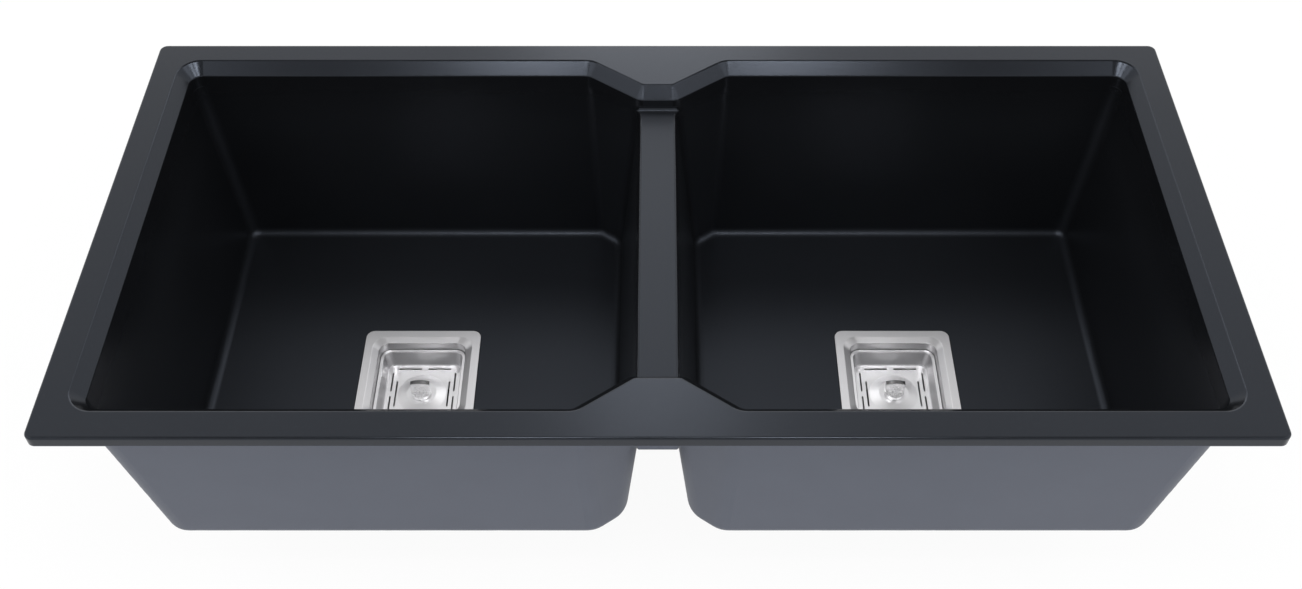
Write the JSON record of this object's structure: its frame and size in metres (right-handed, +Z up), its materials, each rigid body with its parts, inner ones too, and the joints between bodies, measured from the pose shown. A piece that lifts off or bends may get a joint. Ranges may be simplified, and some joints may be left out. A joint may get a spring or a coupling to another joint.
{
  "type": "double bowl kitchen sink",
  "caption": "Rectangular drop-in kitchen sink with two equal bowls, a low divider, square strainer wastes and rim clamps.",
  "frame": {"origin": "middle of the worktop cut-out, on the worktop's upper surface, which the rim's underside rests on", "axes": "+X to the right along the two bowls, +Y to the back, away from the user, +Z up"},
  "size_m": [0.94, 0.457, 0.2824],
  "materials": {
    "stone_composite": "fine satin grain, dark grey quartz composite",
    "stainless_steel": "satin pressed stainless steel",
    "basket_steel": "satin pressed stainless steel",
    "polished_steel": "polished stainless steel",
    "zinc_plated_steel": "bright zinc plate",
    "insert_brass": "turned",
    "black_rubber": "matt",
    "grey_plastic": "moulded",
    "white_plastic": "moulded"
  },
  "bodies": {
    "sink": {"sink_body": "stone_composite", "clamp_inserts": "insert_brass", "clamp_screws": "zinc_plated_steel", "left_drain_well": "stainless_steel", "left_flange_seal": "black_rubber", "left_floor_gasket": "black_rubber", "left_clamp_cup": "grey_plastic", "left_slip_washer": "white_plastic", "left_lock_nut": "white_plastic", "right_drain_well": "stainless_steel", "right_flange_seal": "black_rubber", "right_floor_gasket": "black_rubber", "right_clamp_cup": "grey_plastic", "right_slip_washer": "white_plastic", "right_lock_nut": "white_plastic"},
    "left_strainer": {"left_basket": "basket_steel"},
    "left_stopper_set": {"left_knob": "polished_steel", "left_stem": "polished_steel", "left_stopper": "black_rubber", "left_stopper_nut": "polished_steel"},
    "right_strainer": {"right_basket": "basket_steel"},
    "right_stopper_set": {"right_knob": "polished_steel", "right_stem": "polished_steel", "right_stopper": "black_rubber", "right_stopper_nut": "polished_steel"},
    "clamp_left_front": {"rim_clamp_left_front": "zinc_plated_steel"},
    "clamp_left_rear": {"rim_clamp_left_rear": "zinc_plated_steel"},
    "clamp_right_front": {"rim_clamp_right_front": "zinc_plated_steel"},
    "clamp_right_rear": {"rim_clamp_right_rear": "zinc_plated_steel"},
    "clamp_rear_left": {"rim_clamp_rear_left": "zinc_plated_steel"},
    "clamp_rear_right": {"rim_clamp_rear_right": "zinc_plated_steel"}
  },
  "joints": [
    {"name": "left_basket_lift", "type": "slide", "parent": "sink", "child": "left_strainer", "axis": [0, 0, 1], "range_m": [0, 0.27]},
    {"name": "left_stopper_lift", "type": "slide", "parent": "left_strainer", "child": "left_stopper_set", "axis": [0, 0, 1], "range_m": [0, 0.008]},
    {"name": "right_basket_lift", "type": "slide", "parent": "sink", "child": "right_strainer", "axis": [0, 0, 1], "range_m": [0, 0.27]},
    {"name": "right_stopper_lift", "type": "slide", "parent": "right_strainer", "child": "right_stopper_set", "axis": [0, 0, 1], "range_m": [0, 0.008]},
    {"name": "clamp_swing_left_front", "type": "hinge", "parent": "sink", "child": "clamp_left_front", "pos_m": [-0.4522, -0.13, -0.044], "axis": [0, 0, 1], "range_deg": [0, 90]},
    {"name": "clamp_swing_left_rear", "type": "hinge", "parent": "sink", "child": "clamp_left_rear", "pos_m": [-0.4522, 0.13, -0.044], "axis": [0, 0, -1], "range_deg": [0, 90]},
    {"name": "clamp_swing_right_front", "type": "hinge", "parent": "sink", "child": "clamp_right_front", "pos_m": [0.4522, -0.13, -0.044], "axis": [0, 0, -1], "range_deg": [0, 90]},
    {"name": "clamp_swing_right_rear", "type": "hinge", "parent": "sink", "child": "clamp_right_rear", "pos_m": [0.4522, 0.13, -0.044], "axis": [0, 0, 1], "range_deg": [0, 90]},
    {"name": "clamp_swing_rear_left", "type": "hinge", "parent": "sink", "child": "clamp_rear_left", "pos_m": [-0.23, 0.2116, -0.044], "axis": [0, 0, 1], "range_deg": [0, 90]},
    {"name": "clamp_swing_rear_right", "type": "hinge", "parent": "sink", "child": "clamp_rear_right", "pos_m": [0.23, 0.2116, -0.044], "axis": [0, 0, -1], "range_deg": [0, 90]}
  ]
}
